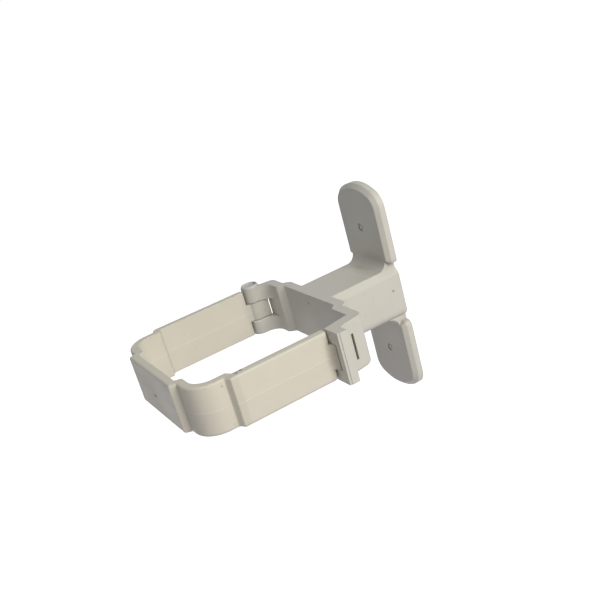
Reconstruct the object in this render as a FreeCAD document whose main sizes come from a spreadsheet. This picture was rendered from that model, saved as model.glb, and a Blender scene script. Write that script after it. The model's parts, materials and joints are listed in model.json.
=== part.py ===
import FreeCAD, Part
import math
import os
from types import SimpleNamespace
import Sketcher

# Downspout hanger: a moulded wall bracket and a hinged strap that snap shut round a square pipe.
# The wall is the plane Y = 0 and the pipe stands along Z in front of it, on the minus Y side.
# The hinge is on the minus X side, the snap latch on the plus X side, and Z = 0 is mid height.

SIZES = [
    ("pipe_width", 80.0, "square pipe across its raised panels"),
    ("pipe_play", 0.3, "room round the pipe on each side"),
    ("panel_width", 43.4, "width of a raised panel of the pipe"),
    ("panel_play", 1.6, "room beside the panel in the saddle"),
    ("corner_step", 3.1, "depth of the stepped corners"),
    ("step_run", 1.6, "length of the strap's steps along its sides"),
    ("corner_flat", 3.46, "straight stretch beside the strap's round corners"),
    ("standoff", 41.7, "wall to the saddle's inner face"),
    ("band_height", 24.8, "height of the saddle"),
    ("saddle_wall", 4.8, "wall of the saddle"),
    ("strap_height", 24.0, "height of the strap"),
    ("strap_wall", 4.0, "wall of the strap"),
    ("edge_round", 1.0, "round on the strap's upper outer edges"),
    ("foot_round", 2.0, "round on the strap's lower outer edges"),
    ("step_round", 0.7, "round on the strap's upright step edges"),
    ("ear_overhang", 1.2, "ears wider than the arm on each side"),
    ("ear_start", 2.8, "ears above and below the arm's end at the saddle"),
    ("ear_corner", 2.6, "round on the ears' corners at the arm"),
    ("ear_reach", 54.3, "mid height to the tip of an ear"),
    ("ear_tip", 26.0, "radius of the ears' tips"),
    ("ear_tip_corner", 9.0, "round on the corners beside the tips"),
    ("ear_thickness", 5.0, "thickness of the ears"),
    ("ear_chamfer", 2.0, "bevel round the front of the ears"),
    ("ear_fillet", 4.5, "fillet from an ear to the arm"),
    ("screw_spacing", 65.2, "distance between the screw holes"),
    ("screw_hole", 4.0, "diameter of the screw holes"),
    ("arm_width", 32.6, "width of the arm"),
    ("arm_flare", 0.4, "growth of the arm's half height towards the wall"),
    ("arm_bevel_width", 2.4, "bevel of the arm's upper edges, across"),
    ("arm_bevel_height", 2.8, "bevel of the arm's upper edges, up"),
    ("arm_round", 4.5, "round on the arm's lower edges"),
    ("core_wall", 3.4, "wall left round the hollow of the arm"),
    ("core_round", 3.5, "corner radius of the hollow"),
    ("hinge_offset", 2.3, "hinge axis outside the strap's inner face"),
    ("hinge_forward", 10.2, "hinge axis in front of the saddle's inner face"),
    ("knuckle_diameter", 9.4, "outside of the hinge knuckles"),
    ("knuckle_height", 9.2, "height of the strap's knuckle"),
    ("knuckle_gap", 0.3, "gap above and below the strap's knuckle"),
    ("eye_step", 0.6, "strap's knuckle smaller than the bracket's, on the radius"),
    ("heel_reach", 6.6, "heel of the strap's knuckle behind the axis"),
    ("heel_back", 1.7, "heel outside the axis"),
    ("heel_round", 1.5, "round on the heel's inner corner"),
    ("hinge_gap", 0.9, "gap between the bracket's knuckles and the strap's end"),
    ("sweep_straight", 0.8, "straight stretch between the hinge sweep and the knuckle"),
    ("neck_offset", 2.2, "outer face of the hinge neck beyond the axis"),
    ("neck_slant", 1.7, "lean of the hinge neck's outer face"),
    ("neck_round", 3.0, "round on the hinge side's outer corner"),
    ("pin_diameter", 4.0, "hinge pin"),
    ("pin_play", 0.05, "radial room of the pin in the strap"),
    ("head_diameter", 8.8, "head of the hinge pin"),
    ("head_height", 1.2, "height of the pin's head"),
    ("head_round", 0.5, "round on the pin's head"),
    ("dish_diameter", 7.0, "dish in the pin's head"),
    ("dish_depth", 0.9, "depth of the dish"),
    ("corner_inset", 1.5, "saddle's latch corner inside the pipe's side"),
    ("mouth_offset", 1.2, "latch wall's mouth outside the pipe's side"),
    ("latch_depth", 16.7, "saddle's inner face to the front of the flange"),
    ("latch_round", 4.0, "round on the latch side's outer corner"),
    ("latch_foot", 2.5, "round on the latch side's lower outer edge"),
    ("saddle_round", 0.8, "round on the saddle's upright step edges"),
    ("flange_reach", 8.1, "flange beyond the strap's outer face"),
    ("flange_thickness", 5.1, "flange"),
    ("flange_lip", 1.2, "width of the low strip along the flange's front edge"),
    ("flange_drop", 0.25, "depth of that strip"),
    ("flange_fillet", 1.6, "fillet behind the flange"),
    ("flange_web", 1.3, "web left behind the latch window"),
    ("latch_skin", 1.0, "skin left on both sides of the latch pocket"),
    ("latch_play", 0.3, "room round the latch tongue"),
    ("tongue_height", 12.0, "height of the latch tongue"),
    ("tongue_depth", 10.9, "depth of the tongue's pocket"),
    ("lug_reach", 3.4, "lug beyond the strap's outer face"),
    ("lug_play", 0.9, "room beside the lug in the window"),
    ("blade_thickness", 1.2, "blade of the tongue"),
    ("barb_height", 0.25, "barb on the blade"),
    ("barb_length", 0.8, "barb along the blade"),
    ("slot_width", 1.3, "release slot in the latch wall"),
    ("end_gap", 0.5, "strap's free end to the flange"),
    ("end_round", 1.4, "round on the strap's free end"),
]

# A wall that turns by 45 degrees shifts its outer corner by this share of its thickness.
BEVEL_SHIFT = math.tan(math.radians(22.5))
# Distance within which an edge counts as the one looked for.
NEAR = 0.02


class Size:
    """A length together with the formula that ties it to the sheet."""

    def __init__(self, value, formula):
        self.value = value
        self.formula = formula

    def __add__(self, other):
        other = as_size(other)
        return Size(self.value + other.value, f"({self.formula} + {other.formula})")

    def __sub__(self, other):
        other = as_size(other)
        return Size(self.value - other.value, f"({self.formula} - {other.formula})")

    def __mul__(self, other):
        other = as_size(other)
        return Size(self.value * other.value, f"({self.formula} * {other.formula})")

    def __truediv__(self, other):
        other = as_size(other)
        return Size(self.value / other.value, f"({self.formula} / {other.formula})")

    def __neg__(self):
        return Size(-self.value, f"(0 - {self.formula})")

    def root(self):
        """The square root."""
        return Size(math.sqrt(self.value), f"sqrt({self.formula})")


def as_size(term):
    """Turn a plain number into a Size."""
    return term if isinstance(term, Size) else Size(float(term), f"{float(term):.9f}")


def make_sheet(doc):
    """Write every size once into the sheet and return them by name."""
    sheet = doc.addObject("Spreadsheet::Sheet", "sizes")
    for row, (alias, value, words) in enumerate(SIZES, start=1):
        sheet.set(f"A{row}", words)
        sheet.set(f"B{row}", str(value))
        sheet.setAlias(f"B{row}", alias)
    doc.recompute()
    return SimpleNamespace(**{alias: Size(value, f"sizes.{alias}") for alias, value, _ in SIZES})


def add_body(doc, name):
    """Start a sub-part."""
    body = doc.addObject("PartDesign::Body", name)
    body.Label = name
    return body


def add_sketch(body, name, plane_role, forward=None):
    """Start a sketch on one of the body's own planes, moved forward along its normal."""
    sketch = body.newObject("Sketcher::SketchObject", name)
    plane = next(item for item in body.Origin.OriginFeatures if item.Role == plane_role)
    sketch.AttachmentSupport = [(plane, "")]
    sketch.MapMode = "FlatFace"
    if forward is not None:
        sketch.setExpression("AttachmentOffset.Base.z", forward.formula)
    return sketch


def line_to(x, y):
    """A straight side that ends at a corner."""
    return SimpleNamespace(x=as_size(x), y=as_size(y), radius=None)


def arc_to(x, y, radius, centre_x, centre_y, left):
    """A round side that ends at a corner and bends to the left or to the right."""
    return SimpleNamespace(x=as_size(x), y=as_size(y), radius=as_size(radius),
                           centre=(as_size(centre_x).value, as_size(centre_y).value), left=left)


def side_shape(start, side):
    """The geometry of one side of an outline."""
    first = FreeCAD.Vector(start.x.value, start.y.value, 0)
    last = FreeCAD.Vector(side.x.value, side.y.value, 0)
    if side.radius is None:
        return Part.LineSegment(first, last)
    centre = FreeCAD.Vector(*side.centre, 0)
    begin, end = (first, last) if side.left else (last, first)
    turn_from = math.atan2(begin.y - centre.y, begin.x - centre.x)
    turn_to = math.atan2(end.y - centre.y, end.x - centre.x)
    circle = Part.Circle(centre, FreeCAD.Vector(0, 0, 1), side.radius.value)
    return Part.ArcOfCircle(circle, turn_from, turn_to)


def bind(sketch, constraint, size):
    """Add a constraint whose value follows a size."""
    index = sketch.addConstraint(constraint)
    sketch.setExpression(f"Constraints[{index}]", size.formula)


def draw_loop(sketch, sides):
    """Draw a closed outline whose corners and radii follow the sheet."""
    base = sketch.GeometryCount
    count = len(sides)
    starts = [sides[index - 1] for index in range(count)]
    sketch.addGeometry([side_shape(start, side) for start, side in zip(starts, sides)], False)
    turned = [side.radius is not None and not side.left for side in sides]
    for index, side in enumerate(sides):
        following = (index + 1) % count
        own_end = 1 if turned[index] else 2
        next_start = 2 if turned[following] else 1
        sketch.addConstraint(Sketcher.Constraint("Coincident", base + index, own_end,
                                                 base + following, next_start))
        bind(sketch, Sketcher.Constraint("DistanceX", -1, 1, base + index, own_end, side.x.value), side.x)
        bind(sketch, Sketcher.Constraint("DistanceY", -1, 1, base + index, own_end, side.y.value), side.y)
        if side.radius is not None:
            bind(sketch, Sketcher.Constraint("Radius", base + index, side.radius.value), side.radius)


def draw_circle(sketch, x, y, radius):
    """Draw a circle whose place and radius follow the sheet."""
    centre = FreeCAD.Vector(x.value, y.value, 0)
    circle = Part.Circle(centre, FreeCAD.Vector(0, 0, 1), radius.value)
    index = sketch.addGeometry(circle, False)
    bind(sketch, Sketcher.Constraint("DistanceX", -1, 1, index, 3, x.value), x)
    bind(sketch, Sketcher.Constraint("DistanceY", -1, 1, index, 3, y.value), y)
    bind(sketch, Sketcher.Constraint("Radius", index, radius.value), radius)


def extrude(body, kind, name, sketch, length, symmetric=False, reverse=False):
    """Pad or pocket a sketch by a length from the sheet."""
    feature = body.newObject(f"PartDesign::{kind}", name)
    feature.Profile = sketch
    feature.SideType = "Symmetric" if symmetric else "One side"
    feature.Reversed = reverse
    feature.setExpression("Length", length.formula)
    body.Tip = feature
    body.Document.recompute()
    return feature


def dress(body, kind, name, edges, size):
    """Fillet or chamfer named edges of the body by a size from the sheet."""
    base = body.Tip
    feature = body.newObject(f"PartDesign::{kind}", name)
    feature.Base = (base, edges)
    feature.setExpression("Radius" if kind == "Fillet" else "Size", size.formula)
    body.Tip = feature
    body.Document.recompute()
    return feature


def edges_where(body, wanted):
    """Names of the body's edges that a test picks out."""
    return [f"Edge{number}" for number, edge in enumerate(body.Tip.Shape.Edges, start=1) if wanted(edge)]


def upright_edges(body, corners):
    """Names of the edges that stand along Z at the given corners."""
    def at_corner(edge):
        box = edge.BoundBox
        return box.XLength + box.YLength < NEAR and any(
            abs(box.Center.x - x.value) < NEAR and abs(box.Center.y - y.value) < NEAR for x, y in corners)
    return edges_where(body, at_corner)


def mirrored(x, y):
    """A corner and its twin on the other side of the part."""
    return [(x, y), (-x, y)]


def shared_places(s):
    """Places that more than one sub-part has to agree on."""
    p = SimpleNamespace()
    p.half_clear = s.pipe_width / 2 + s.pipe_play
    p.half_outer = p.half_clear + s.strap_wall
    p.hinge_x = -(p.half_clear + s.hinge_offset)
    p.hinge_y = -(s.standoff + s.hinge_forward)
    p.knuckle = s.knuckle_diameter / 2
    p.run_front = -(s.standoff + s.corner_step)
    p.hinge_sweep = p.run_front - p.hinge_y - s.sweep_straight
    p.latch_front = -(s.standoff + s.latch_depth)
    p.mouth_x = p.half_clear + s.mouth_offset
    p.pocket_in = p.mouth_x + s.latch_skin
    p.blade_in = p.pocket_in + s.latch_play * 2
    p.blade_out = p.blade_in + s.blade_thickness
    p.pocket_out = p.blade_out + s.barb_height + s.latch_play
    p.pocket_end = p.latch_front + s.tongue_depth
    p.slot_front = p.pocket_end - s.slot_width
    p.lug_out = p.half_outer + s.lug_reach
    p.window_end = p.latch_front + s.flange_thickness - s.flange_web
    return p


def saddle_outline(s, p):
    """Plan of the saddle, from the hinge knuckle round to the latch flange and back."""
    panel = s.panel_width / 2 + s.panel_play
    panel_front = -s.standoff
    panel_back = panel_front + s.saddle_wall
    run_front = p.run_front
    run_back = run_front + s.saddle_wall
    shift = s.saddle_wall * BEVEL_SHIFT
    corner_x = p.half_clear - s.corner_inset
    slope = (p.mouth_x - corner_x) / (run_front - p.latch_front)
    flange_back = p.latch_front + s.flange_thickness
    flange_end = p.half_outer + s.flange_reach
    wall_at_slot = p.pocket_out + s.latch_skin
    wall_at_flange = wall_at_slot + slope * (p.slot_front - flange_back)
    wall_at_back = wall_at_slot + slope * (p.slot_front - run_back)
    sweep_x = p.hinge_x + p.knuckle + p.hinge_sweep
    sweep_y = run_front - p.hinge_sweep
    neck_x = p.hinge_x + s.neck_offset
    neck_y = p.hinge_y + (p.knuckle * p.knuckle - s.neck_offset * s.neck_offset).root()
    neck_top = neck_x + s.neck_slant
    sides = [
        line_to(p.hinge_x + p.knuckle, sweep_y),
        arc_to(sweep_x, run_front, p.hinge_sweep, sweep_x, sweep_y, left=False),
        line_to(-(panel + s.corner_step), run_front),
        line_to(-panel, panel_front),
        line_to(panel, panel_front),
        line_to(panel + s.corner_step, run_front),
        line_to(corner_x, run_front),
        line_to(p.mouth_x, p.latch_front),
        line_to(flange_end - s.flange_drop, p.latch_front),
        line_to(flange_end - s.flange_drop, p.latch_front + s.flange_lip),
        line_to(flange_end, p.latch_front + s.flange_lip),
        line_to(flange_end, flange_back),
        line_to(wall_at_flange, flange_back),
        line_to(wall_at_back, run_back),
        line_to(panel + s.corner_step + shift, run_back),
        line_to(panel + shift, panel_back),
        line_to(-(panel + shift), panel_back),
        line_to(-(panel + s.corner_step + shift), run_back),
        line_to(neck_top, run_back),
        line_to(neck_x, neck_y),
        arc_to(p.hinge_x + p.knuckle, p.hinge_y, p.knuckle, p.hinge_x, p.hinge_y, left=True),
    ]
    steps = mirrored(panel, panel_front) + mirrored(panel + s.corner_step, run_front)
    steps += mirrored(panel + shift, panel_back) + mirrored(panel + s.corner_step + shift, run_back)
    corners = SimpleNamespace(flange_root=(wall_at_flange, flange_back), latch_back=(wall_at_back, run_back),
                              neck_top=(neck_top, run_back), steps=steps)
    return sides, corners


def arm_section(s, half_height):
    """Outline of the arm across its length, bevelled along the top and round along the bottom."""
    half = s.arm_width / 2
    flat = half - s.arm_bevel_width
    high = s.band_height / 2 - s.arm_bevel_height
    bend = half - s.arm_round
    low = s.arm_round - half_height
    return [line_to(flat, half_height), line_to(-flat, half_height), line_to(-half, high), line_to(-half, low),
            arc_to(-bend, -half_height, s.arm_round, -bend, low, left=True), line_to(bend, -half_height),
            arc_to(half, low, s.arm_round, bend, low, left=True), line_to(half, high)]


def rounded_box(half_x, half_y, radius):
    """Outline of a box about the middle with round corners."""
    near_x = half_x - radius
    near_y = half_y - radius
    return [line_to(half_x, near_y), arc_to(near_x, half_y, radius, near_x, near_y, left=True),
            line_to(-near_x, half_y), arc_to(-half_x, near_y, radius, -near_x, near_y, left=True),
            line_to(-half_x, -near_y), arc_to(-near_x, -half_y, radius, -near_x, -near_y, left=True),
            line_to(near_x, -half_y), arc_to(half_x, -near_y, radius, near_x, -near_y, left=True)]


def plate_outline(s, arm_top):
    """Outline of the wall plate: an ear with a round tip above and below, joined by a waist behind the arm."""
    half = s.arm_width / 2 + s.ear_overhang
    waist = s.arm_width / 2 - s.arm_bevel_width
    bend = half - s.ear_corner
    low = arm_top - s.arm_flare + s.ear_start
    middle = s.ear_reach - s.ear_tip
    inner = s.ear_tip - s.ear_tip_corner
    turn_x = half - s.ear_tip_corner
    rise = (inner * inner - turn_x * turn_x).root()
    meet_x = turn_x * s.ear_tip / inner
    sides = []
    for up in (1, -1):
        tip = middle * up
        turn = (middle + rise) * up
        meet = (middle + rise * s.ear_tip / inner) * up
        side_end = (low + s.ear_corner) * up
        root_end = low * up
        sides += [
            line_to(waist * up, root_end),
            line_to(bend * up, root_end),
            arc_to(half * up, side_end, s.ear_corner, bend * up, side_end, left=True),
            line_to(half * up, turn),
            arc_to(meet_x * up, meet, s.ear_tip_corner, turn_x * up, turn, left=True),
            arc_to(-meet_x * up, meet, s.ear_tip, 0, tip, left=True),
            arc_to(-half * up, turn, s.ear_tip_corner, -turn_x * up, turn, left=True),
            line_to(-half * up, side_end),
            arc_to(-bend * up, root_end, s.ear_corner, -bend * up, side_end, left=True),
            line_to(-waist * up, root_end),
        ]
    return sides


def ear_fillet_outline(s, arm_top, up):
    """Side view of the fillet that runs from an ear into the arm."""
    front = -s.ear_thickness
    foot = front - s.ear_fillet
    low = arm_top - s.arm_flare * (s.ear_thickness + s.ear_fillet) / (s.standoff - s.saddle_wall)
    high = low + s.ear_fillet
    inside = low - s.arm_bevel_height
    back = front + s.ear_chamfer
    return [line_to(front, high * up), arc_to(foot, low * up, s.ear_fillet, foot, high * up, left=up < 0),
            line_to(foot, inside * up), line_to(back, inside * up), line_to(back, high * up)]


def build_bracket(doc, s, p):
    """The wall bracket: ears, arm, saddle, hinge knuckles and latch socket in one moulding."""
    body = add_body(doc, "wall_bracket")

    arm_top = s.band_height / 2 + s.arm_flare
    plate = add_sketch(body, "plate_outline", "XZ_Plane")
    draw_loop(plate, plate_outline(s, arm_top))
    extrude(body, "Pad", "wall_plate", plate, s.ear_thickness)
    front = -s.ear_thickness.value
    rim = edges_where(body, lambda edge: edge.BoundBox.YMax < front + NEAR)
    dress(body, "Chamfer", "ear_bevels", rim, s.ear_chamfer)

    at_wall = add_sketch(body, "arm_at_wall", "XZ_Plane")
    draw_loop(at_wall, arm_section(s, arm_top))
    at_saddle = add_sketch(body, "arm_at_saddle", "XZ_Plane", s.standoff - s.saddle_wall / 2)
    draw_loop(at_saddle, arm_section(s, s.band_height / 2))
    arm = body.newObject("PartDesign::AdditiveLoft", "arm")
    arm.Profile = at_wall
    arm.Sections = [at_saddle]
    arm.Ruled = True
    body.Tip = arm
    doc.recompute()

    saddle = add_sketch(body, "saddle_plan", "XY_Plane")
    sides, corners = saddle_outline(s, p)
    draw_loop(saddle, sides)
    extrude(body, "Pad", "saddle", saddle, s.band_height, symmetric=True)
    dress(body, "Fillet", "latch_corner", upright_edges(body, [corners.latch_back]), s.latch_round)

    def on_latch_foot(edge):
        box = edge.BoundBox
        behind = box.YMin > corners.flange_root[1].value - NEAR and box.YMax > p.run_front.value + NEAR
        outside = box.XMin > corners.steps[-2][0].value - NEAR
        return box.ZMax < NEAR - s.band_height.value / 2 and behind and outside
    dress(body, "Fillet", "latch_foot", edges_where(body, on_latch_foot), s.latch_foot)
    dress(body, "Fillet", "step_edges", upright_edges(body, corners.steps), s.saddle_round)
    dress(body, "Fillet", "neck_corner", upright_edges(body, [corners.neck_top]), s.neck_round)
    dress(body, "Fillet", "flange_root", upright_edges(body, [corners.flange_root]), s.flange_fillet)

    fillets = add_sketch(body, "ear_fillet_sides", "YZ_Plane")
    for up in (1, -1):
        draw_loop(fillets, ear_fillet_outline(s, arm_top, up))
    extrude(body, "Pad", "ear_fillets", fillets, s.arm_width - s.arm_bevel_width * 2, symmetric=True)

    screws = add_sketch(body, "screw_holes", "XZ_Plane")
    for up in (1, -1):
        draw_circle(screws, as_size(0), s.screw_spacing / 2 * up, s.screw_hole / 2)
    extrude(body, "Pocket", "screws", screws, s.ear_thickness, reverse=True)

    core = add_sketch(body, "arm_core", "XZ_Plane")
    draw_loop(core, rounded_box(s.arm_width / 2 - s.core_wall, s.band_height / 2 - s.core_wall, s.core_round))
    extrude(body, "Pocket", "arm_hollow", core, s.standoff - s.saddle_wall, reverse=True)

    relief = add_sketch(body, "hinge_relief", "XY_Plane")
    room = p.run_front - p.hinge_y
    relief_in = p.hinge_x + p.knuckle + p.hinge_sweep
    draw_loop(relief, [line_to(relief_in, p.hinge_y + room), line_to(p.hinge_x - room, p.hinge_y + room),
                       line_to(p.hinge_x - room, p.hinge_y - room), line_to(relief_in, p.hinge_y - room)])
    extrude(body, "Pocket", "hinge_gap_cut", relief, s.knuckle_height + s.knuckle_gap * 2, symmetric=True)
    bore = add_sketch(body, "hinge_bore", "XY_Plane")
    draw_circle(bore, p.hinge_x, p.hinge_y, s.pin_diameter / 2)
    extrude(body, "Pocket", "pin_bore", bore, s.band_height, symmetric=True)

    window = add_sketch(body, "latch_window", "XY_Plane")
    window_out = p.lug_out + s.lug_play
    draw_loop(window, [line_to(p.pocket_in, p.latch_front), line_to(window_out, p.latch_front),
                       line_to(window_out, p.window_end), line_to(p.pocket_out, p.window_end),
                       line_to(p.pocket_out, p.pocket_end), line_to(p.pocket_in, p.pocket_end)])
    window_height = s.tongue_height + s.latch_play * 2
    extrude(body, "Pocket", "latch_pocket", window, window_height, symmetric=True)
    slot = add_sketch(body, "release_slot", "XY_Plane")
    slot_out = p.half_outer + s.flange_reach
    draw_loop(slot, [line_to(p.blade_out, p.slot_front), line_to(slot_out, p.slot_front),
                     line_to(slot_out, p.pocket_end), line_to(p.blade_out, p.pocket_end)])
    extrude(body, "Pocket", "slot_cut", slot, window_height, symmetric=True)
    return body


def strap_outline(s, p):
    """Plan of the strap: the inner face from the latch to the hinge, then the outer face back."""
    panel = s.panel_width / 2
    front = -(s.standoff + p.half_clear * 2)
    run = front + s.corner_step
    bend = -(s.standoff + p.half_clear) - panel
    corner_x = p.half_clear - s.corner_step
    step = s.corner_step
    along = s.step_run
    shift = s.strap_wall * ((along * along + step * step).root() - along) / step
    arc_x = panel + along + shift + s.corner_flat
    inner_radius = corner_x - arc_x
    outer_radius = inner_radius + s.strap_wall
    arc_y = run + inner_radius
    free_end = p.latch_front - s.end_gap
    hinge_end = p.hinge_y - p.knuckle - s.hinge_gap
    wall = s.strap_wall
    sides = [
        line_to(p.half_clear, free_end),
        line_to(p.half_clear, bend),
        line_to(corner_x, bend - along),
        line_to(corner_x, arc_y),
        arc_to(arc_x, run, inner_radius, arc_x, arc_y, left=False),
        line_to(panel + along, run),
        line_to(panel, front),
        line_to(-panel, front),
        line_to(-(panel + along), run),
        line_to(-arc_x, run),
        arc_to(-corner_x, arc_y, inner_radius, -arc_x, arc_y, left=False),
        line_to(-corner_x, bend - along),
        line_to(-p.half_clear, bend),
        line_to(-p.half_clear, hinge_end),
        line_to(-p.half_outer, hinge_end),
        line_to(-p.half_outer, bend - shift),
        line_to(-(corner_x + wall), bend - along - shift),
        line_to(-(corner_x + wall), arc_y),
        arc_to(-arc_x, run - wall, outer_radius, -arc_x, arc_y, left=True),
        line_to(-(panel + along + shift), run - wall),
        line_to(-(panel + shift), front - wall),
        line_to(panel + shift, front - wall),
        line_to(panel + along + shift, run - wall),
        line_to(arc_x, run - wall),
        arc_to(corner_x + wall, arc_y, outer_radius, arc_x, arc_y, left=True),
        line_to(corner_x + wall, bend - along - shift),
        line_to(p.half_outer, bend - shift),
        line_to(p.half_outer, free_end),
    ]
    steps = mirrored(p.half_clear, bend) + mirrored(corner_x, bend - along)
    steps += mirrored(panel + along, run) + mirrored(panel, front)
    steps += mirrored(p.half_outer, bend - shift) + mirrored(corner_x + wall, bend - along - shift)
    steps += mirrored(panel + along + shift, run - wall) + mirrored(panel + shift, front - wall)
    corners = SimpleNamespace(steps=steps, free_end=(p.half_outer, free_end), hinge_end=hinge_end)
    return sides, corners


def tongue_outline(s, p):
    """Plan of the latch tongue: a flared lug that fills the window and a thin barbed blade behind it."""
    root_x = p.half_outer - s.strap_wall / 2
    free_end = p.latch_front - s.end_gap
    lug_back = p.window_end - s.latch_play
    foot = p.latch_front - s.lug_reach
    tip = p.pocket_end - s.latch_play
    catch = tip - s.barb_length
    barb = p.blade_out + s.barb_height
    return [
        line_to(root_x, foot),
        line_to(p.half_outer, foot),
        arc_to(p.lug_out, p.latch_front, s.lug_reach, p.lug_out, foot, left=False),
        line_to(p.lug_out, lug_back),
        line_to(p.blade_out, lug_back),
        line_to(p.blade_out, catch),
        line_to(barb, catch),
        line_to(p.blade_out, tip),
        line_to(p.blade_in, tip),
        line_to(p.blade_in, free_end),
        line_to(root_x, free_end),
    ]


def build_strap(doc, s, p):
    """The strap: a band round three sides of the pipe with a hinge knuckle and a latch tongue."""
    body = add_body(doc, "strap")
    plan = add_sketch(body, "strap_plan", "XY_Plane")
    sides, corners = strap_outline(s, p)
    draw_loop(plan, sides)
    extrude(body, "Pad", "band", plan, s.strap_height, symmetric=True)
    dress(body, "Fillet", "step_edges", upright_edges(body, corners.steps), s.step_round)
    dress(body, "Fillet", "free_end_edge", upright_edges(body, [corners.free_end]), s.end_round)

    def outer_rim(up):
        def on_rim(edge):
            box = edge.BoundBox
            level = abs(box.Center.z - up * s.strap_height.value / 2) < NEAR and box.ZLength < NEAR
            return level and any(touches_outside(face) for face in body.Tip.Shape.ancestorsOfType(edge, Part.Face))
        return edges_where(body, on_rim)

    def touches_outside(face):
        middle = face.CenterOfMass
        upright = face.BoundBox.ZLength > s.strap_height.value / 2
        at_hinge_end = abs(middle.y - corners.hinge_end.value) < NEAR
        centre = FreeCAD.Vector(0, -(s.standoff + p.half_clear).value, middle.z)
        u, v = face.Surface.parameter(middle)
        return upright and not at_hinge_end and face.normalAt(u, v).dot(middle - centre) > NEAR
    dress(body, "Fillet", "upper_edges", outer_rim(1), s.edge_round)
    dress(body, "Fillet", "lower_edges", outer_rim(-1), s.foot_round)

    neck = add_sketch(body, "knuckle_neck", "XY_Plane")
    inside = corners.hinge_end - s.strap_wall
    draw_loop(neck, [line_to(-p.half_clear, inside), line_to(-p.half_clear, p.hinge_y),
                     line_to(-p.half_outer, p.hinge_y), line_to(-p.half_outer, inside)])
    extrude(body, "Pad", "neck", neck, s.knuckle_height, symmetric=True)
    eye = add_sketch(body, "knuckle_plan", "XY_Plane")
    eye_radius = p.knuckle - s.eye_step
    draw_circle(eye, p.hinge_x, p.hinge_y, eye_radius)
    extrude(body, "Pad", "knuckle", eye, s.knuckle_height, symmetric=True)
    heel = add_sketch(body, "heel_plan", "XY_Plane")
    heel_in = p.hinge_x + eye_radius
    heel_end = p.hinge_y + s.heel_reach
    bend_x = heel_in - s.heel_round
    bend_y = heel_end - s.heel_round
    draw_loop(heel, [line_to(heel_in, p.hinge_y), line_to(heel_in, bend_y),
                     arc_to(bend_x, heel_end, s.heel_round, bend_x, bend_y, left=True),
                     line_to(p.hinge_x - s.heel_back, heel_end), line_to(p.hinge_x - s.heel_back, p.hinge_y)])
    extrude(body, "Pad", "heel", heel, s.knuckle_height, symmetric=True)
    bore = add_sketch(body, "knuckle_bore", "XY_Plane")
    draw_circle(bore, p.hinge_x, p.hinge_y, s.pin_diameter / 2 + s.pin_play)
    extrude(body, "Pocket", "pin_bore", bore, s.knuckle_height, symmetric=True)

    tongue = add_sketch(body, "tongue_plan", "XY_Plane")
    draw_loop(tongue, tongue_outline(s, p))
    extrude(body, "Pad", "tongue", tongue, s.tongue_height, symmetric=True)
    return body


def build_pin(doc, s, p):
    """The hinge pin: a plain shank with a dished head that sits on the upper knuckle."""
    body = add_body(doc, "hinge_pin")
    shank = add_sketch(body, "shank_plan", "XY_Plane")
    draw_circle(shank, p.hinge_x, p.hinge_y, s.pin_diameter / 2)
    extrude(body, "Pad", "shank", shank, s.band_height, symmetric=True)
    head = add_sketch(body, "head_plan", "XY_Plane", s.band_height / 2)
    draw_circle(head, p.hinge_x, p.hinge_y, s.head_diameter / 2)
    extrude(body, "Pad", "head", head, s.head_height)
    top = s.band_height / 2 + s.head_height
    rim = edges_where(body, lambda edge: abs(edge.BoundBox.ZMin - top.value) < NEAR)
    dress(body, "Fillet", "head_rim", rim, s.head_round)
    dish = add_sketch(body, "dish_plan", "XY_Plane", top)
    draw_circle(dish, p.hinge_x, p.hinge_y, s.dish_diameter / 2)
    extrude(body, "Pocket", "head_dish", dish, s.dish_depth)
    return body


def main():
    """Build the three sub-parts, check them and write one file for each."""
    doc = FreeCAD.newDocument("downspout_hanger")
    s = make_sheet(doc)
    p = shared_places(s)
    bodies = [build_bracket(doc, s, p), build_strap(doc, s, p), build_pin(doc, s, p)]
    doc.recompute()
    for item in doc.Objects:
        if "Invalid" in item.State or "Error" in item.State:
            raise RuntimeError(f"{item.Name} did not build: {item.State}")
    os.makedirs("parts", exist_ok=True)
    for body in bodies:
        shape = body.Shape
        if shape.isNull() or not shape.isValid() or len(shape.Solids) != 1:
            raise RuntimeError(f"{body.Label} is not one sound solid")
        shape.exportStep(f"parts/{body.Label}.step")
        print(body.Label, round(shape.Volume, 2), "mm3")


main()
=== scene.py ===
import json
import logging
import math
from dataclasses import dataclass
from enum import Enum

import bpy
from mathutils import Euler, Matrix, Vector


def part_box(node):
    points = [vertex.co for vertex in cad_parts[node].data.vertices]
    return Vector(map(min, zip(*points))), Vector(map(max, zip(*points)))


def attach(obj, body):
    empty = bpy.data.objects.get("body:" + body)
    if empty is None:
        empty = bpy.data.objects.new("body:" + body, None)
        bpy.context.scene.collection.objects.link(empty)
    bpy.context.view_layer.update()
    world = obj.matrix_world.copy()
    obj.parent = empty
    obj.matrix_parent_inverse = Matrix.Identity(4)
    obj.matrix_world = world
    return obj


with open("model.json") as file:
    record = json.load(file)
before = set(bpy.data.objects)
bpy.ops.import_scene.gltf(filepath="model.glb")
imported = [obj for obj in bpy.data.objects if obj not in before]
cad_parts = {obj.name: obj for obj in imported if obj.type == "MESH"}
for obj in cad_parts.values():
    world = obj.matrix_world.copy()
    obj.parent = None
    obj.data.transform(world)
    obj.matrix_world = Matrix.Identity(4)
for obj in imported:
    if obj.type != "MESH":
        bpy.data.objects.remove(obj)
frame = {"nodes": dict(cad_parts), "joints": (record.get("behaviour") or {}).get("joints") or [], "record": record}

LOG = logging.getLogger("downspout_hanger")

Tone = tuple[float, float, float]
Place = tuple[float, float, float]
Span = tuple[float, float]

MM = 0.001

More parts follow.
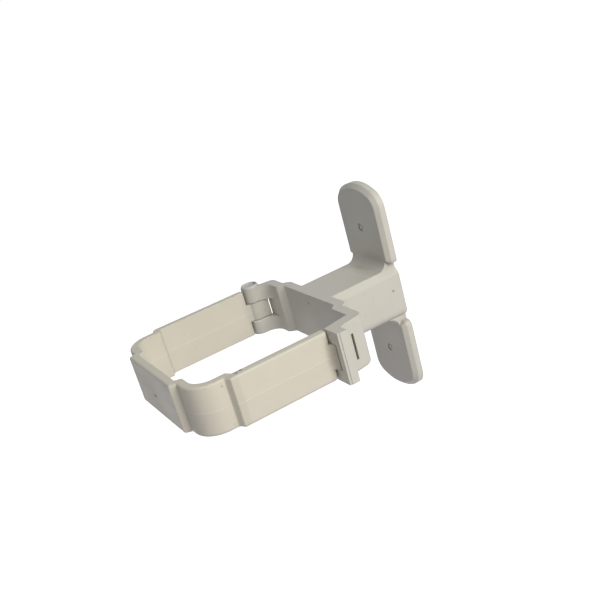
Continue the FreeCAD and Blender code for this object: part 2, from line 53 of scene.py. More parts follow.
WHITE: Tone = (1.0, 1.0, 1.0)
# Tone of the painted highlights on edges, ridges, nib tips and the knuckle's rim.
PAINTED_HIGHLIGHT_TONE: Tone = (0.80, 0.78, 0.72)
RISING: Span = (0.0, 1.0)
FALLING: Span = (1.0, 0.0)
EVEN: Place = (1.0, 1.0, 1.0)
# How ragged the rims of the soft spots of painted shade and highlight are.
PAINTED_LIGHT_RAG = 0.2

# A face counts as the top where its normal has at least this much height.
TOP_NORMAL = 0.9
RIM_SEGMENTS = 2
SMOOTH_ANGLE = math.radians(35)


class Facing(Enum):
    """The way a face of the hanger looks, as the turn that brings straight up to it."""

    FRONT = Matrix.Rotation(math.radians(90), 4, "X")
    LATCH_SIDE = Matrix.Rotation(math.radians(90), 4, "Y")


class Socket(Enum):
    """Kinds of input and output that a node group can have."""

    NUMBER = "NodeSocketFloat"
    VECTOR = "NodeSocketVector"


def mm(x: float, y: float, z: float) -> Place:
    """Turn a place in millimetres into one in metres."""
    return (x * MM, y * MM, z * MM)


def opaque(colour: object) -> object:
    """Give a plain tone its alpha, and leave an output socket as it is."""
    return (*colour, 1.0) if isinstance(colour, tuple) else colour


class NodeSheet:
    """A short way to add and join nodes in one tree."""

    def __init__(self, tree: bpy.types.NodeTree) -> None:
        """Start on the tree that gets the nodes."""
        self.tree = tree

    def add(self, kind: str, **settings: object) -> bpy.types.Node:
        """Add a node.

        Args:
            kind: Blender's name of the node type.
            **settings: Properties to set on it.

        Returns:
            The new node.
        """
        node = self.tree.nodes.new(kind)
        for name, value in settings.items():
            setattr(node, name, value)
        return node

    def feed(self, socket: bpy.types.NodeSocket, source: object) -> None:
        """Join an output to an input, or set the input to a plain value.

        Args:
            socket: The input.
            source: An output socket or a plain value.
        """
        if isinstance(source, bpy.types.NodeSocket):
            self.tree.links.new(source, socket)
        else:
            socket.default_value = source

    def group(self, tree: bpy.types.NodeTree, values: dict[str, object]) -> bpy.types.Node:
        """Add a node group and feed its inputs.

        Args:
            tree: The group.
            values: An output socket or a plain value for each input.

        Returns:
            The new node.
        """
        node = self.add("ShaderNodeGroup", node_tree=tree)
        for name, value in values.items():
            self.feed(node.inputs[name], value)
        return node

    def math(
        self, operation: str, first: object, second: object = 0.0, clamp: bool = False
    ) -> bpy.types.NodeSocket:
        """Work out a number.

        Args:
            operation: Blender's name of the sum.
            first: First number or output.
            second: Second number or output.
            clamp: Whether the result is kept between 0 and 1.

        Returns:
            The output with the result.
        """
        node = self.add("ShaderNodeMath", operation=operation, use_clamp=clamp)
        self.feed(node.inputs[0], first)
        self.feed(node.inputs[1], second)
        return node.outputs[0]

    def times(self, first: object, second: object) -> bpy.types.NodeSocket:
        """Multiply two numbers or outputs."""
        return self.math("MULTIPLY", first, second)

    def vector_math(self, operation: str, first: object, second: object) -> bpy.types.Node:
        """Work something out from two vectors.

        Args:
            operation: Blender's name of the sum.
            first: Output with the first vector.
            second: Output with the second vector.

        Returns:
            The node, which has the result as a vector or a value.
        """
        node = self.add("ShaderNodeVectorMath", operation=operation)
        self.feed(node.inputs[0], first)
        self.feed(node.inputs[1], second)
        return node

    def spread(self, value: object, span: Span, onto: Span) -> bpy.types.NodeSocket:
        """Map a number smoothly from one span onto another.

        Args:
            value: The number or output.
            span: The span it comes from.
            onto: What the ends of that span become.

        Returns:
            The output with the mapped number.
        """
        node = self.add("ShaderNodeMapRange", interpolation_type="SMOOTHSTEP")
        for name, number in zip(("From Min", "From Max", "To Min", "To Max"), (*span, *onto)):
            node.inputs[name].default_value = number
        self.feed(node.inputs["Value"], value)
        return node.outputs["Result"]

    def mix(self, share: object, first: object, second: object) -> bpy.types.NodeSocket:
        """Mix two colours.

        Args:
            share: How much of the second colour there is.
            first: First colour or output.
            second: Second colour or output.

        Returns:
            The output with the mixed colour.
        """
        node = self.add("ShaderNodeMix", data_type="RGBA")
        self.feed(node.inputs["Factor"], share)
        self.feed(node.inputs["A"], opaque(first))
        self.feed(node.inputs["B"], opaque(second))
        return node.outputs["Result"]

    def noise(self, vector: object, scale: object, detail: float) -> bpy.types.NodeSocket:
        """Add a noise pattern.

        Args:
            vector: Output with the coordinates.
            scale: How fine the pattern is.
            detail: How many finer layers it has.

        Returns:
            The output with the pattern.
        """
        node = self.add("ShaderNodeTexNoise", noise_dimensions="3D")
        self.feed(node.inputs["Vector"], vector)
        self.feed(node.inputs["Scale"], scale)
        self.feed(node.inputs["Detail"], detail)
        return node.outputs["Fac"]


def new_group(
    name: str, inputs: dict[str, Socket], outputs: dict[str, Socket]
) -> tuple[NodeSheet, bpy.types.NodeOutputs, bpy.types.NodeInputs]:
    """Start a shader node group.

    Args:
        name: Name of the group.
        inputs: Input names and kinds.
        outputs: Output names and kinds.

    Returns:
        The sheet of the group, the values that it is given and the results that it has to fill.
    """
    tree = bpy.data.node_groups.new(name, "ShaderNodeTree")
    for label, kind in inputs.items():
        tree.interface.new_socket(label, in_out="INPUT", socket_type=kind.value)
    for label, kind in outputs.items():
        tree.interface.new_socket(label, in_out="OUTPUT", socket_type=kind.value)
    sheet = NodeSheet(tree)
    return sheet, sheet.add("NodeGroupInput").outputs, sheet.add("NodeGroupOutput").inputs


class MouldingEffects:
    """Surface effects of the mouldings, each built once as a node group; some of them are painted shade and
    painted highlights.
    """

    CLOUD_DETAIL = 3.0
    CLOUD_SPAN: Span = (0.3, 0.7)
    SPECK_DETAIL = 1.0
    SPECK_SPAN: Span = (0.68, 0.78)
    GRAIN_DETAIL = 2.0
    WAVER_SCALE = 90.0
    WAVER_DETAIL = 1.0
    WAVER_REACH = 0.3 * MM
    CORNER_SAMPLES = 8
    CREASE_SHADE_SPAN: Span = (0.35, 0.95)
    OPEN_SPAN: Span = (0.8, 0.98)
    ROUND_SAMPLES = 6
    HIGHLIGHT_SPAN: Span = (0.85, 0.99)
    RAG_FINENESS = 1.1
    RAG_DETAIL = 2.0
    RAG_MIDDLE = 0.5
    RIM_SPAN: Span = (0.55, 1.0)

    def __init__(self) -> None:
        """Build the groups."""
        self.flow = self._flow()
        self.parting = self._parting()
        self.crease_shade = self._crease_shade()
        self.edge = self._edge()
        self.mark = self._mark()

    def _flow(self) -> bpy.types.NodeTree:
        """Cloudy streaks of the melt, fine specks and the satin grain of the mould.

        Returns:
            The node group.
        """
        sheet, given, result = new_group(
            "moulded_flow",
            {"Vector": Socket.VECTOR, "Cloud Scale": Socket.NUMBER, "Speck Scale": Socket.NUMBER,
             "Grain Scale": Socket.NUMBER},
            {"Cloud": Socket.NUMBER, "Speck": Socket.NUMBER, "Grain": Socket.NUMBER})
        cloud = sheet.noise(given["Vector"], given["Cloud Scale"], self.CLOUD_DETAIL)
        specks = sheet.noise(given["Vector"], given["Speck Scale"], self.SPECK_DETAIL)
        grain = sheet.noise(given["Vector"], given["Grain Scale"], self.GRAIN_DETAIL)
        sheet.feed(result["Cloud"], sheet.spread(cloud, self.CLOUD_SPAN, RISING))
        sheet.feed(result["Speck"], sheet.spread(specks, self.SPECK_SPAN, RISING))
        sheet.feed(result["Grain"], grain)
        return sheet.tree

    def _parting(self) -> bpy.types.NodeTree:
        """The line where the mould halves meet, with the draft of the walls above and below it.

        Returns:
            The node group.
        """
        sheet, given, result = new_group(
            "parting_line",
            {"Vector": Socket.VECTOR, "Level": Socket.NUMBER, "Width": Socket.NUMBER, "Ridge": Socket.NUMBER,
             "Draft": Socket.NUMBER},
            {"Line": Socket.NUMBER, "Height": Socket.NUMBER})
        split = sheet.add("ShaderNodeSeparateXYZ")
        sheet.feed(split.inputs["Vector"], given["Vector"])
        waver = sheet.noise(given["Vector"], self.WAVER_SCALE, self.WAVER_DETAIL)
        level = sheet.math("ADD", given["Level"], sheet.times(waver, self.WAVER_REACH))
        away = sheet.math("ABSOLUTE", sheet.math("SUBTRACT", split.outputs["Z"], level))
        line = sheet.math("SUBTRACT", 1.0, sheet.math("DIVIDE", away, given["Width"]), clamp=True)
        ridge = sheet.times(line, given["Ridge"])
        fall = sheet.times(away, given["Draft"])
        sheet.feed(result["Line"], line)
        sheet.feed(result["Height"], sheet.math("SUBTRACT", ridge, fall))
        return sheet.tree

    def _crease_shade(self) -> bpy.types.NodeTree:
        """Painted shade that darkens the corners and crevices, and a mask of where the surface is open, away from
        them.

        Returns:
            The node group.
        """
        sheet, given, result = new_group(
            "painted_corner_shade", {"Reach": Socket.NUMBER}, {"Shade": Socket.NUMBER, "Open": Socket.NUMBER})
        corner = sheet.add("ShaderNodeAmbientOcclusion", samples=self.CORNER_SAMPLES, only_local=True)
        sheet.feed(corner.inputs["Distance"], given["Reach"])
        sheet.feed(result["Shade"], sheet.spread(corner.outputs["AO"], self.CREASE_SHADE_SPAN, FALLING))
        sheet.feed(result["Open"], sheet.spread(corner.outputs["AO"], self.OPEN_SPAN, RISING))
        return sheet.tree

    def _edge(self) -> bpy.types.NodeTree:
        """The small round along every edge, and a painted highlight along it.

        Returns:
            The node group.
        """
        sheet, given, result = new_group(
            "rounded_edge_highlight", {"Round": Socket.NUMBER, "Open": Socket.NUMBER},
            {"Highlight": Socket.NUMBER, "Normal": Socket.VECTOR})
        bevel = sheet.add("ShaderNodeBevel", samples=self.ROUND_SAMPLES)
        sheet.feed(bevel.inputs["Radius"], given["Round"])
        flat = sheet.add("ShaderNodeNewGeometry").outputs["Normal"]
        turn = sheet.vector_math("DOT_PRODUCT", bevel.outputs["Normal"], flat)
        edge = sheet.spread(turn.outputs["Value"], self.HIGHLIGHT_SPAN, FALLING)
        sheet.feed(result["Highlight"], sheet.times(edge, given["Open"]))
        sheet.feed(result["Normal"], bevel.outputs["Normal"])
        return sheet.tree

    def _mark(self) -> bpy.types.NodeTree:
        """A nick, or a spot of painted shade or painted highlight, at one place, with a ragged rim.

        Returns:
            The node group.
        """
        sheet, given, result = new_group(
            "surface_mark",
            {"Vector": Socket.VECTOR, "Place": Socket.VECTOR, "Stretch": Socket.VECTOR,
             "Reach": Socket.NUMBER, "Rag": Socket.NUMBER},
            {"Mark": Socket.NUMBER})
        off = sheet.vector_math("SUBTRACT", given["Vector"], given["Place"])
        drawn = sheet.vector_math("MULTIPLY", off.outputs["Vector"], given["Stretch"])
        gap = sheet.add("ShaderNodeVectorMath", operation="LENGTH")
        sheet.feed(gap.inputs[0], drawn.outputs["Vector"])
        share = sheet.math("DIVIDE", gap.outputs["Value"], given["Reach"])
        fineness = sheet.math("DIVIDE", self.RAG_FINENESS, given["Reach"])
        ragged = sheet.noise(given["Vector"], fineness, self.RAG_DETAIL)
        rag = sheet.times(sheet.math("SUBTRACT", ragged, self.RAG_MIDDLE), given["Rag"])
        rim = sheet.math("ADD", share, rag)
        sheet.feed(result["Mark"], sheet.spread(rim, self.RIM_SPAN, FALLING))
        return sheet.tree


@dataclass(frozen=True)
class Mark:
    """A mark in the surface: a dark nick, or painted shade in a dimple, with a pit; or a soft spot of painted
    shade or painted highlight without one.

    Attributes:
        place: The middle of the mark.
        reach: How far it goes from there.
        share: How much of its own tone it takes.
        tone: Its tone, or None for the deep tone of the finish.
        pit: Its depth as a share of the reach.
        stretch: Along each axis, how many times sooner than the reach it ends.
        rag: How ragged its rim is.
    """

    place: Place
    reach: float
    share: float
    tone: Tone | None = None
    pit: float = 0.25
    stretch: Place = EVEN
    rag: float = 1.0

    @classmethod
    def painted_light(
        cls, place: Place, reach: float, share: float, stretch: Place = EVEN, tone: Tone | None = None
    ) -> "Mark":
        """Make a soft spot of painted shade or painted highlight that leaves the surface level."""
        return cls(place, reach, share, tone, pit=0.0, stretch=stretch, rag=PAINTED_LIGHT_RAG)


@dataclass(frozen=True)
class PartingLine:
    """The trace of the mould halves: a fine ridge with a painted highlight along it, and walls that fall away to
    both sides of it.
    """

    level: float = -0.5 * MM
    width: float = 0.45 * MM
    ridge: float = 0.06 * MM
    draft: float = 0.02
    share: float = 0.4


@dataclass(frozen=True)
class PlasticFinish:
    """A satin moulded plastic, in the tones and marks of one piece, with painted shade in its corners and painted
    highlights on its edges.
    """

    name: str
    tone: Tone
    pale_tone: Tone
    deep_tone: Tone
    roughness: float
    parting: PartingLine | None = None
    marks: tuple[Mark, ...] = ()
    roughness_swing: float = 0.05
    ior: float = 1.5
    cloud_scale: float = 42.0
    cloud_share: float = 0.5
    speck_scale: float = 520.0
    speck_share: float = 0.12
    grain_scale: float = 2600.0
    grain_height: float = 0.012 * MM
    edge_round: float = 0.45 * MM
    highlight_tone: Tone = PAINTED_HIGHLIGHT_TONE
    edge_highlight_share: float = 0.6
    crease_shade_tone: Tone = (0.28, 0.25, 0.20)
    crease_shade_reach: float = 6.0 * MM
    crease_shade_share: float = 0.4

    def make(self, effects: MouldingEffects) -> bpy.types.Material:
        """Build the material.

        Args:
            effects: The node groups of the mouldings.

        Returns:
            The finished material.
        """
        material = bpy.data.materials.new(self.name)
        material.use_nodes = True
        sheet = NodeSheet(material.node_tree)
        where = sheet.add("ShaderNodeTexCoord").outputs["Object"]
        flow = sheet.group(effects.flow, {
            "Vector": where, "Cloud Scale": self.cloud_scale, "Speck Scale": self.speck_scale,
            "Grain Scale": self.grain_scale}).outputs
        crease_shade = sheet.group(effects.crease_shade, {"Reach": self.crease_shade_reach}).outputs
        edge = sheet.group(effects.edge, {"Round": self.edge_round, "Open": crease_shade["Open"]}).outputs

        height = sheet.times(flow["Grain"], self.grain_height)
        layers = [(flow["Cloud"], self.cloud_share, self.pale_tone),
                  (flow["Speck"], self.speck_share, self.deep_tone)]
        if self.parting:
            trace = sheet.group(effects.parting, {
                "Vector": where, "Level": self.parting.level, "Width": self.parting.width,
                "Ridge": self.parting.ridge, "Draft": self.parting.draft}).outputs
            height = sheet.math("ADD", height, trace["Height"])
            # Painted highlight along the ridge of the parting line.
            layers.append((trace["Line"], self.parting.share, self.highlight_tone))
        # Painted shade in the corners and crevices.
        layers.append((crease_shade["Shade"], self.crease_shade_share, self.crease_shade_tone))
        # Painted highlight along the rounded edges, kept off the shaded corners.
        layers.append((edge["Highlight"], self.edge_highlight_share, self.highlight_tone))
        for mark in self.marks:
            spot = sheet.group(effects.mark, {
                "Vector": where, "Place": mark.place, "Stretch": mark.stretch, "Reach": mark.reach,
                "Rag": mark.rag}).outputs["Mark"]
            layers.append((spot, mark.share, mark.tone or self.deep_tone))
            if mark.pit:
                height = sheet.math("SUBTRACT", height, sheet.times(spot, mark.pit * mark.reach))
        colour = self.tone
        for mask, share, tone in layers:
            colour = sheet.mix(sheet.times(mask, share), colour, tone)

        # The heights are in metres already, so the bump takes them at full strength.
        bump = sheet.add("ShaderNodeBump")
        sheet.feed(bump.inputs["Strength"], 1.0)
        sheet.feed(bump.inputs["Distance"], 1.0)
        sheet.feed(bump.inputs["Height"], height)
        sheet.feed(bump.inputs["Normal"], edge["Normal"])
        shader = material.node_tree.nodes["Principled BSDF"]
        shader.inputs["IOR"].default_value = self.ior
        swing = (self.roughness - self.roughness_swing, self.roughness + self.roughness_swing)
        sheet.feed(shader.inputs["Base Color"], colour)
        sheet.feed(shader.inputs["Roughness"], sheet.spread(flow["Cloud"], RISING, swing))
        sheet.feed(shader.inputs["Normal"], bump.outputs["Normal"])
        return material


def wear(piece: bpy.types.Object, material: bpy.types.Material) -> None:
    """Put one material on every slot of a piece.

    Args:
        piece: The object to dress.
        material: Its finish.
    """
    if not piece.material_slots:
        piece.data.materials.append(material)
    for slot in piece.material_slots:
        slot.material = material


def settle(piece: bpy.types.Object, place: Place, facing: Facing) -> None:
    """Turn a small piece to its face, put it there and leave its place in the mesh.

    Args:
        piece: The piece, modelled upright at the origin.
        place: Where it goes.
        facing: The way its face looks.
    """
    bpy.ops.object.select_all(action="DESELECT")
    piece.select_set(True)
    bpy.context.view_layer.objects.active = piece
    piece.matrix_world = Matrix.Translation(Vector(place)) @ facing.value
    bpy.ops.object.transform_apply(location=True, rotation=True, scale=True)


def pick_top(piece: bpy.types.Object) -> None:
    """Select only the face on top.

    Args:
        piece: The object in edit mode.
    """
    bpy.ops.mesh.select_all(action="DESELECT")
    bpy.ops.mesh.select_mode(type="FACE")
    bpy.ops.object.mode_set(mode="OBJECT")
    for face in piece.data.polygons:
        face.select = face.normal.z > TOP_NORMAL
    bpy.ops.object.mode_set(mode="EDIT")


def soften(piece: bpy.types.Object, width: float) -> None:
    """Round the sharp edges of a small piece and shade it smooth.

    Args:
        piece: The active object.
        width: Width of the rounding.
    """
    rim = piece.modifiers.new("soft_rim", "BEVEL")
    rim.width = width
    rim.segments = RIM_SEGMENTS
    rim.limit_method = "ANGLE"
    bpy.ops.object.modifier_apply(modifier=rim.name)
    bpy.ops.object.shade_smooth_by_angle(angle=SMOOTH_ANGLE)


@dataclass(frozen=True)
class HoleSkin:
    """The thin skin with a torn nib that the mould leaves across a screw hole, for the screw to break."""

    name: str
    places: tuple[Place, ...]
    facing: Facing
    radius: float
    thickness: float = 0.4 * MM
    nib_radius: float = 0.8 * MM
    nib_height: float = 0.7 * MM
    nib_lean: float = 0.5 * MM
    nib_rise: float = 0.35 * MM
    nib_taper: float = 0.6
    rim_share: float = 0.3
    sides: int = 24

    def nib_tips(self) -> list[Place]:
        """The middle of each torn nib's end.

        Returns:
            One place for every hole.
        """
        upright = Vector((self.nib_lean, self.nib_rise, self.thickness / 2 + self.nib_height))
        turned = self.facing.value.to_3x3() @ upright
        return [tuple(Vector(place) + turned) for place in self.places]

    def build(self) -> list[bpy.types.Object]:
        """Model the skin once and set a copy in every hole.

        Returns:
            The finished pieces.
        """
        bpy.ops.object.select_all(action="DESELECT")
        bpy.ops.mesh.primitive_cylinder_add(vertices=self.sides, radius=self.radius, depth=self.thickness)
        first = bpy.context.object
        bpy.ops.object.mode_set(mode="EDIT")
        pick_top(first)
        bpy.ops.mesh.inset(thickness=self.radius - self.nib_radius)
        lean = (self.nib_lean, self.nib_rise, self.nib_height)
        bpy.ops.mesh.extrude_region_move(TRANSFORM_OT_translate={"value": lean})
        bpy.ops.transform.resize(value=(self.nib_taper, self.nib_taper, 1.0))
        bpy.ops.mesh.select_all(action="SELECT")
        bpy.ops.mesh.normals_make_consistent(inside=False)
        bpy.ops.object.mode_set(mode="OBJECT")
        soften(first, self.rim_share * self.thickness)
        pieces = [first]
        for _ in self.places[1:]:
            twin = first.copy()
            twin.data = first.data.copy()
            bpy.context.scene.collection.objects.link(twin)
            pieces.append(twin)
        for number, (piece, place) in enumerate(zip(pieces, self.places), start=1):
            piece.name = f"{self.name}_{number}"
            piece.data.name = piece.name
            settle(piece, place, self.facing)
        return pieces


@dataclass(frozen=True)
class GateMark:
    """The scar where a moulding was cut from its feed: a low ring with a torn dimple in it."""

    name: str
    place: Place
    facing: Facing
    radius: float
    height: float
    flatness: float = 1.0
    ring_share: float = 0.45
    dimple_share: float = 1.2
    dimple_drift: float = 0.12
    rim_share: float = 0.4
    sides: int = 28

    def build(self) -> list[bpy.types.Object]:
        """Model the mark on its face.

        Returns:
            The finished piece, alone in a list.
        """
        bpy.ops.object.select_all(action="DESELECT")
        bpy.ops.mesh.primitive_cylinder_add(vertices=self.sides, radius=self.radius, depth=2 * self.height)
        piece = bpy.context.object
        piece.name = self.name
        piece.data.name = self.name
        bpy.ops.object.mode_set(mode="EDIT")
        pick_top(piece)
        half_ring = self.radius * self.ring_share / 2
        bpy.ops.mesh.inset(thickness=half_ring)
        bpy.ops.mesh.inset(thickness=half_ring)
        dimple = (0.0, self.dimple_drift * self.radius, -self.dimple_share * self.height)
        bpy.ops.transform.translate(value=dimple)
        bpy.ops.mesh.select_all(action="SELECT")
        bpy.ops.transform.resize(value=(1.0, self.flatness, 1.0))
        bpy.ops.mesh.normals_make_consistent(inside=False)
        bpy.ops.object.mode_set(mode="OBJECT")
        soften(piece, self.rim_share * self.height)
        settle(piece, self.place, self.facing)
        return [piece]


def named(rows: list[dict], name: str) -> dict:
    """Pick the joint or mount of the record that has a name."""
    return next(row for row in rows if row["name"] == name)


# Places on the solids, from the frame and a few sizes of the part.
HINGE_X, HINGE_Y, _ = named(frame["joints"], "strap_hinge")["pos_m"]
SCREWS = named(frame["record"]["mounts"], "wall_screws")["dims"]
PIPE_MIDDLE = named(frame["record"]["mounts"], "pipe_seat")["pos_m"][1]
PIPE_HALF = 40.3 * MM
SADDLE_FRONT = PIPE_MIDDLE + PIPE_HALF
STRAP_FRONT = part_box("strap")[0].y
EAR_FRONT = -5.0 * MM
ARM_SIDE = 16.3 * MM
KNUCKLE_RIM = 4.9 * MM
# How far below the knuckle's rim the painted highlight sits.
KNUCKLE_HIGHLIGHT_DROP = 0.2 * MM

SKIN_SINK = 0.7 * MM
SKIN_GRIP = 0.02 * MM
HOLE_LEVEL = SCREWS["spacing_y_mm"] * MM / 2

SCREW_SKINS = HoleSkin(
    "hole_skin",
    places=tuple((0.0, EAR_FRONT + SKIN_SINK, level) for level in (HOLE_LEVEL, -HOLE_LEVEL)),
    facing=Facing.FRONT, radius=SCREWS["hole_r_mm"] * MM + SKIN_GRIP)
SADDLE_GATE = GateMark(
    "saddle_gate", (-1.05 * MM, SADDLE_FRONT, 7.95 * MM), Facing.FRONT, radius=1.1 * MM, height=0.22 * MM)
ARM_GATE = GateMark(
    "arm_gate", (ARM_SIDE, -5.45 * MM, 2.35 * MM), Facing.LATCH_SIDE, radius=0.8 * MM, height=0.2 * MM)
STRAP_GATE = GateMark(
    "strap_gate", (-1.5 * MM, STRAP_FRONT, -1.2 * MM), Facing.FRONT, radius=1.8 * MM, height=0.2 * MM,
    flatness=0.35)
# Middle of the painted shade in the strap's gate dimple.
STRAP_GATE_SHADE = tuple(Vector(STRAP_GATE.place) + Vector(mm(0.0, 0.0, 0.1)))


def at_hinge(level: float) -> Place:
    """A place on the axis of the hinge."""
    return (HINGE_X, HINGE_Y, level)


BRACKET_FINISH = PlasticFinish(
    name="stone_grey_pvc",
    tone=(0.60, 0.585, 0.515),
    pale_tone=(0.65, 0.635, 0.56),
    deep_tone=(0.16, 0.15, 0.13),
    roughness=0.5,
    crease_shade_reach=10.0 * MM,
    marks=(
        # Painted shade on the upper knuckle and at the root of the upper ear.
        Mark.painted_light(at_hinge(8.5 * MM), reach=12.0 * MM, share=0.15),
        Mark.painted_light(mm(5.0, -6.5, 14.0), reach=9.0 * MM, share=0.1, stretch=(0.6, 1.0, 1.0)),
        # Painted highlights on the tips of the torn nibs.
        *(Mark.painted_light(tip, reach=1.1 * MM, share=0.9, tone=PAINTED_HIGHLIGHT_TONE) for tip in SCREW_SKINS.nib_tips()),
        # A painted highlight on the rim below the strap's knuckle, and a painted shadow in the gap above it.
        Mark.painted_light(
            at_hinge(-KNUCKLE_RIM - KNUCKLE_HIGHLIGHT_DROP), reach=0.5 * MM, share=0.75, stretch=(0.06, 0.06, 1.0),
            tone=PAINTED_HIGHLIGHT_TONE),
        Mark.painted_light(at_hinge(KNUCKLE_RIM), reach=0.6 * MM, share=0.5, stretch=(0.07, 0.07, 1.0)),
        # Painted shade in the dimples of the gate marks, over a pit in the bump.
        Mark(ARM_GATE.place, reach=0.75 * MM, share=0.5),
        Mark(SADDLE_GATE.place, reach=0.75 * MM, share=0.5)))

STRAP_FINISH = PlasticFinish(
    name="warm_grey_pvc",
    tone=(0.67, 0.635, 0.525),
    pale_tone=(0.715, 0.68, 0.57),
    deep_tone=(0.10, 0.085, 0.06),
    roughness=0.5,
    parting=PartingLine(),
    marks=(
        # Nicks on the top edge by the step and on the round of the corner.
        Mark(mm(41.0, -99.9, 12.0), reach=0.9 * MM, share=0.9),
        Mark(mm(41.3, -102.2, 12.0), reach=1.3 * MM, share=0.45),
        Mark(mm(41.2, -109.5, 8.8), reach=0.7 * MM, share=0.1),
        # Painted shade in the dimple of the gate mark, over a pit in the bump.
        Mark(STRAP_GATE_SHADE, reach=1.5 * MM, share=0.6, stretch=(1.0, 1.0, 4.0)),
        # Painted shade along the step, beside the latch and on the knuckle, greyer on the knuckle.
        Mark.painted_light(mm(42.7, -104.5, 0.0), reach=3.0 * MM, share=0.1, stretch=(1.0, 1.0, 0.1)),
        Mark.painted_light(mm(45.0, -54.0, -1.0), reach=9.0 * MM, share=0.3, stretch=(1.0, 1.0, 0.6)),
        Mark.painted_light(
            at_hinge(0.0), reach=9.0 * MM, share=0.75, stretch=(1.0, 1.0, 0.4), tone=(0.53, 0.52, 0.455))))

PIN_FINISH = PlasticFinish(
    name="pale_grey_pvc",
    tone=(0.61, 0.605, 0.57),
    pale_tone=(0.66, 0.655, 0.62),
    deep_tone=(0.2, 0.19, 0.17),
    roughness=0.45,
    crease_shade_share=0.15)


@dataclass
class Moulding:
    """One moulding of the hanger, with its finish and the small details that the scene adds to it."""

    node: str
    body: str
    slot: str
    finish: PlasticFinish
    details: tuple[GateMark | HoleSkin, ...] = ()

    def build(self) -> list[bpy.types.Object]:
        """Model the details in order."""
        return [piece for detail in self.details for piece in detail.build()]

    def dress(self, effects: MouldingEffects) -> None:
        """Put the finish on the moulding and on its details, which ride on its body.

        Args:
            effects: The node groups of the mouldings.
        """
        material = self.finish.make(effects)
        wear(frame["nodes"][self.node], material)
        LOG.info("dressed %s", self.node)
        for piece in self.build():
            wear(piece, material)
            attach(piece, self.body)
            LOG.info("added %s", piece.name)


@dataclass
class WallBracket(Moulding):
    """The bracket that is screwed to the wall: ears, arm, saddle and latch socket."""

    node: str = "wall_bracket"
    body: str = "bracket"
    slot: str = "bracket_pvc"
    finish: PlasticFinish = BRACKET_FINISH
    details: tuple[GateMark | HoleSkin, ...] = (SADDLE_GATE, ARM_GATE, SCREW_SKINS)


@dataclass
class Strap(Moulding):
    """The hinged strap that closes round the pipe."""

    node: str = "strap"
    body: str = "strap"
    slot: str = "strap_pvc"
    finish: PlasticFinish = STRAP_FINISH
    details: tuple[GateMark | HoleSkin, ...] = (STRAP_GATE,)


@dataclass
class HingePin(Moulding):
    """The pin that the strap turns on."""

    node: str = "hinge_pin"
    body: str = "bracket"
    slot: str = "pin_pvc"
    finish: PlasticFinish = PIN_FINISH


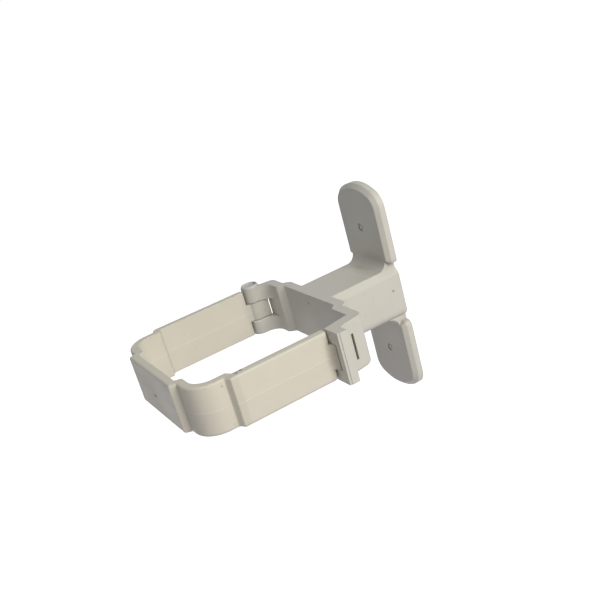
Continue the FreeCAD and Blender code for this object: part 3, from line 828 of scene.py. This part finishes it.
@dataclass
class Studio:
    """The plain white studio: floor, soft light and the camera, whose turn is in degrees."""

    floor_level: float = -0.5
    floor_reach: float = 8.0
    floor_tone: Tone = (0.95, 0.89, 0.97)
    floor_roughness: float = 0.9
    floor_glow: float = 0.9
    ambient: float = 0.24
    ambient_tone: Tone = (0.94, 0.98, 1.05)
    key_towards: Place = (0.85, 0.15, 0.50)
    key_middle: Place = (0.0, -0.06, 0.0)
    key_distance: float = 0.9
    key_size: float = 0.5
    key_power: float = 6.3
    key_tone: Tone = (1.0, 0.97, 0.91)
    eye: Place = (0.36024, -0.21242, 0.16194)
    turn: Place = (67.004, 14.628, 59.153)
    lens: float = 53.279
    sensor: float = 36.0
    shift: tuple[float, float] = (-0.00317, 0.03025)
    nearest: float = 0.01

    def build(self) -> None:
        """Set up the floor, the light and the camera."""
        self._floor()
        self._light()
        self._camera()
        bpy.context.scene.view_settings.view_transform = "Standard"
        LOG.info("set up the studio")

    def _floor(self) -> None:
        """Lay a pale floor that stays white to the camera and still takes a shadow."""
        bpy.ops.object.select_all(action="DESELECT")
        bpy.ops.mesh.primitive_plane_add(size=self.floor_reach, location=(0.0, 0.0, self.floor_level))
        floor = bpy.context.object
        floor.name = "studio_floor"
        material = bpy.data.materials.new("studio_white")
        material.use_nodes = True
        sheet = NodeSheet(material.node_tree)
        shader = material.node_tree.nodes["Principled BSDF"]
        shader.inputs["Base Color"].default_value = opaque(self.floor_tone)
        shader.inputs["Roughness"].default_value = self.floor_roughness
        shader.inputs["Emission Color"].default_value = opaque(WHITE)
        sheet.feed(shader.inputs["Emission Strength"], sheet.times(self._seen(sheet), self.floor_glow))
        wear(floor, material)

    @staticmethod
    def _seen(sheet: NodeSheet) -> bpy.types.NodeSocket:
        """Tell camera, glossy and see-through rays from those that light the object.

        Args:
            sheet: The tree that gets the nodes.

        Returns:
            The output with 1 for such a ray and 0 for any other.
        """
        path = sheet.add("ShaderNodeLightPath")
        eye = sheet.math("MAXIMUM", path.outputs["Is Camera Ray"], path.outputs["Is Glossy Ray"])
        return sheet.math("MAXIMUM", eye, path.outputs["Is Transmission Ray"])

    def _light(self) -> None:
        """Hang one large soft lamp on the latch side and fill with an even sky."""
        world = bpy.data.worlds.new("studio_air")
        bpy.context.scene.world = world
        world.use_nodes = True
        sheet = NodeSheet(world.node_tree)
        seen = self._seen(sheet)
        sky = world.node_tree.nodes["Background"]
        strength = sheet.math("ADD", sheet.times(seen, 1.0 - self.ambient), self.ambient)
        sheet.feed(sky.inputs["Color"], sheet.mix(seen, self.ambient_tone, WHITE))
        sheet.feed(sky.inputs["Strength"], strength)
        data = bpy.data.lights.new("soft_key", "AREA")
        data.shape = "SQUARE"
        data.size = self.key_size
        data.energy = self.key_power
        data.color = self.key_tone
        lamp = bpy.data.objects.new("soft_key", data)
        bpy.context.scene.collection.objects.link(lamp)
        towards = Vector(self.key_towards).normalized()
        lamp.location = Vector(self.key_middle) + towards * self.key_distance
        lamp.rotation_euler = towards.to_track_quat("Z", "Y").to_euler()

    def _camera(self) -> None:
        """Put the camera where the photograph was taken from."""
        data = bpy.data.cameras.new("photo_camera")
        data.sensor_fit = "HORIZONTAL"
        data.sensor_width = self.sensor
        data.lens = self.lens
        data.shift_x, data.shift_y = self.shift
        data.clip_start = self.nearest
        camera = bpy.data.objects.new("photo_camera", data)
        bpy.context.scene.collection.objects.link(camera)
        turn = Euler([math.radians(angle) for angle in self.turn])
        camera.matrix_world = Matrix.LocRotScale(Vector(self.eye), turn, None)
        bpy.context.scene.camera = camera


def main() -> None:
    """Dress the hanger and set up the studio."""
    logging.basicConfig(level=logging.INFO)
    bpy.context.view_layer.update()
    effects = MouldingEffects()
    for moulding in (WallBracket(), Strap(), HingePin()):
        moulding.dress(effects)
    Studio().build()


if __name__ == "__main__":
    main()
